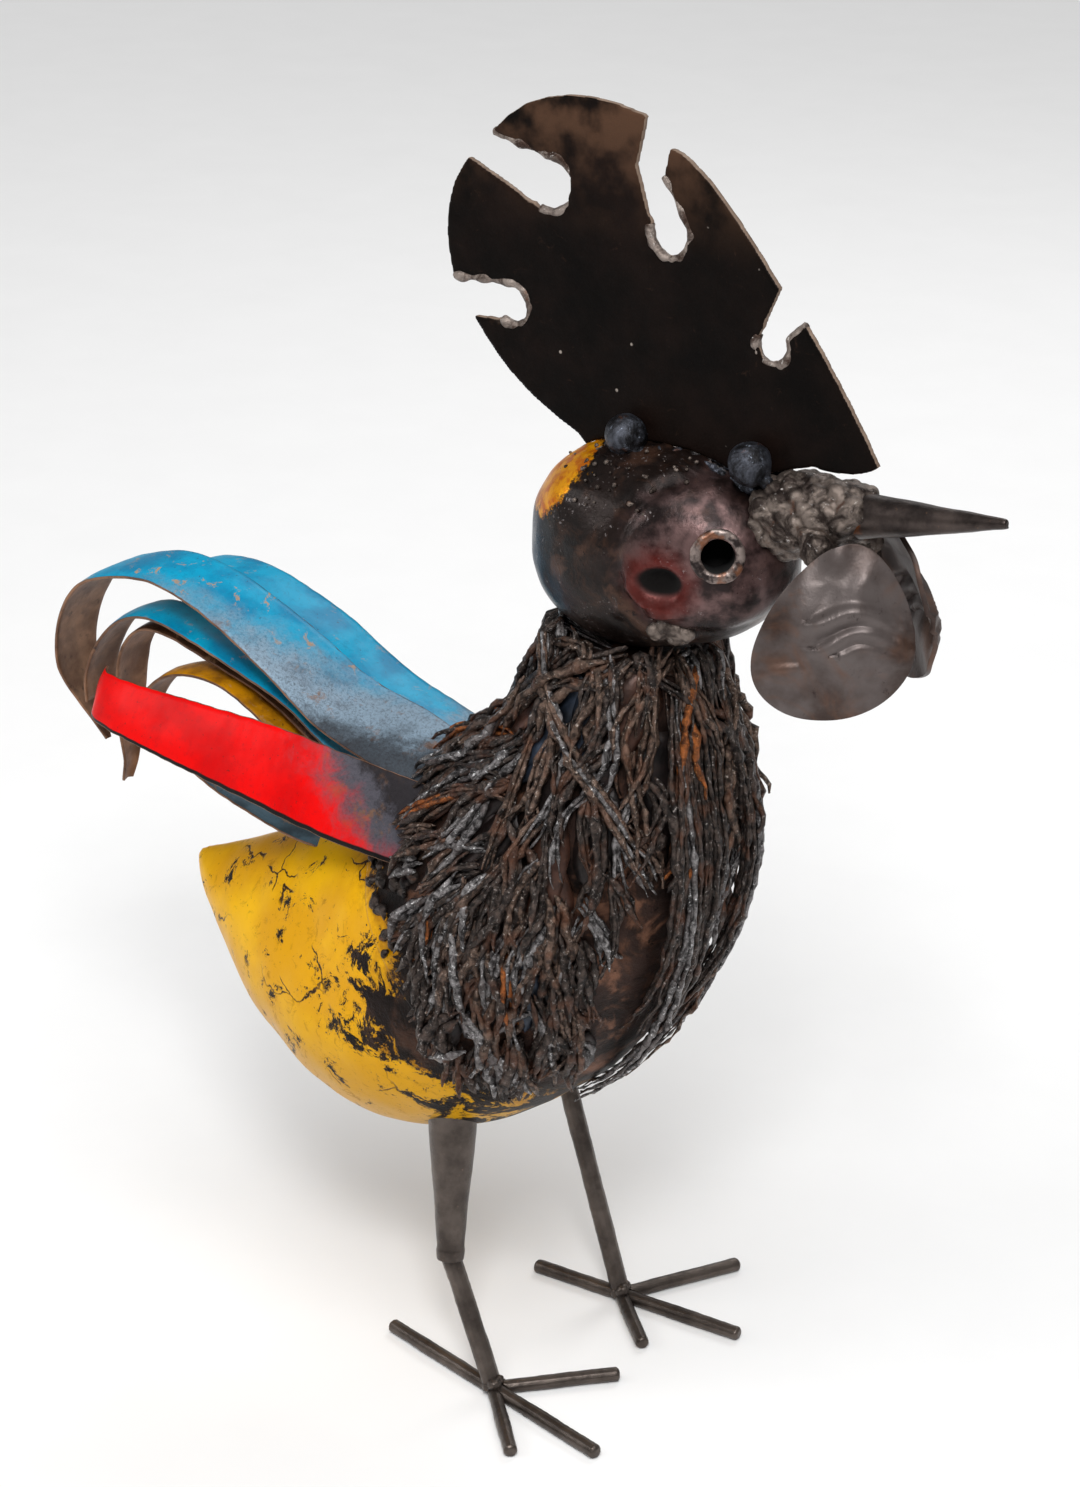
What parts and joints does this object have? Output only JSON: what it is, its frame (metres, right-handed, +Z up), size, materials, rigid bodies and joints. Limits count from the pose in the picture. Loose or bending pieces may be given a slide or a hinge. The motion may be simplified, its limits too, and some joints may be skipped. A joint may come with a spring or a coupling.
{
  "type": "scrap metal rooster sculpture",
  "caption": "Standing rooster welded from scrap steel: notched plate comb, cone beak, painted strip tail, yellow rump, bead-welded hackle and bare rod legs.",
  "frame": {"origin": "middle of the bounding box, on the ground that the toes stand on", "axes": "+X forward, the way the beak points; +Y the bird's left; +Z up"},
  "size_m": [0.4228, 0.1676, 0.5231],
  "materials": {
    "yellow_paint": "chipped yellow paint over hammered sheet, burnt brown and black towards the welds",
    "burnt_sheet": "hammered sheet steel with a dark brown heat scale and a soft sheen",
    "torch_cut_plate": "thick plate with near-black mill scale, brown rust at its rims and melted silvery cut edges",
    "weld_metal": "rough beaded weld with grey, brown and rust patches",
    "hackle_steel": "weld-beaded strips of steel with brown, rust-orange and blue heat colours",
    "blue_paint": "weathered blue paint, burnt to grey steel towards the weld, bare brown on the back",
    "red_paint": "glossy red paint, burnt to grey steel towards the weld",
    "amber_paint": "streaky amber paint on thin sheet",
    "bare_sheet": "bare grey-brown sheet steel with pressed creases and a light rust bloom",
    "round_bar": "dark oiled round bar and rolled cone with a satin sheen",
    "worn_ring": "ring worn to bright steel"
  },
  "bodies": {
    "root": {"rump_shell": "yellow_paint", "breast_and_neck_shell": "burnt_sheet", "head_shell": "burnt_sheet", "eye_ring_right": "worn_ring", "eye_ring_left": "worn_ring", "comb_plate": "torch_cut_plate", "comb_knob_rear_right": "weld_metal", "comb_knob_rear_left": "weld_metal", "comb_knob_front_right": "weld_metal", "comb_knob_front_left": "weld_metal", "beak_cone": "round_bar", "beak_weld_collar": "weld_metal", "wattle_right": "bare_sheet", "wattle_weld_right": "weld_metal", "wattle_left": "bare_sheet", "wattle_weld_left": "weld_metal", "tail_feather_blue_large": "blue_paint", "tail_feather_blue_back": "blue_paint", "tail_feather_blue_small": "blue_paint", "tail_feather_brown": "bare_sheet", "tail_feather_amber": "amber_paint", "tail_feather_red": "red_paint", "tail_feather_grey_blue": "blue_paint", "foot_bar_right": "round_bar", "leg_rod_right": "round_bar", "toe_inner_right": "round_bar", "toe_outer_right": "round_bar", "foot_bar_left": "round_bar", "leg_rod_left": "round_bar", "toe_inner_left": "round_bar", "toe_outer_left": "round_bar", "thigh_cone_right": "round_bar", "hackle_feather_01": "hackle_steel", "hackle_feather_02": "hackle_steel", "hackle_feather_03": "hackle_steel", "hackle_feather_04": "hackle_steel", "hackle_feather_05": "hackle_steel", "hackle_feather_06": "hackle_steel", "hackle_feather_07": "hackle_steel", "hackle_feather_08": "hackle_steel", "hackle_feather_09": "hackle_steel", "hackle_feather_10": "hackle_steel", "hackle_feather_11": "hackle_steel", "hackle_feather_12": "hackle_steel", "hackle_feather_13": "hackle_steel", "hackle_feather_14": "hackle_steel", "hackle_feather_15": "hackle_steel", "hackle_feather_16": "hackle_steel", "hackle_feather_17": "hackle_steel", "hackle_feather_18": "hackle_steel", "hackle_feather_19": "hackle_steel", "hackle_feather_20": "hackle_steel", "hackle_feather_21": "hackle_steel", "hackle_feather_22": "hackle_steel", "hackle_feather_23": "hackle_steel", "hackle_feather_24": "hackle_steel", "hackle_feather_25": "hackle_steel"}
  },
  "joints": []
}
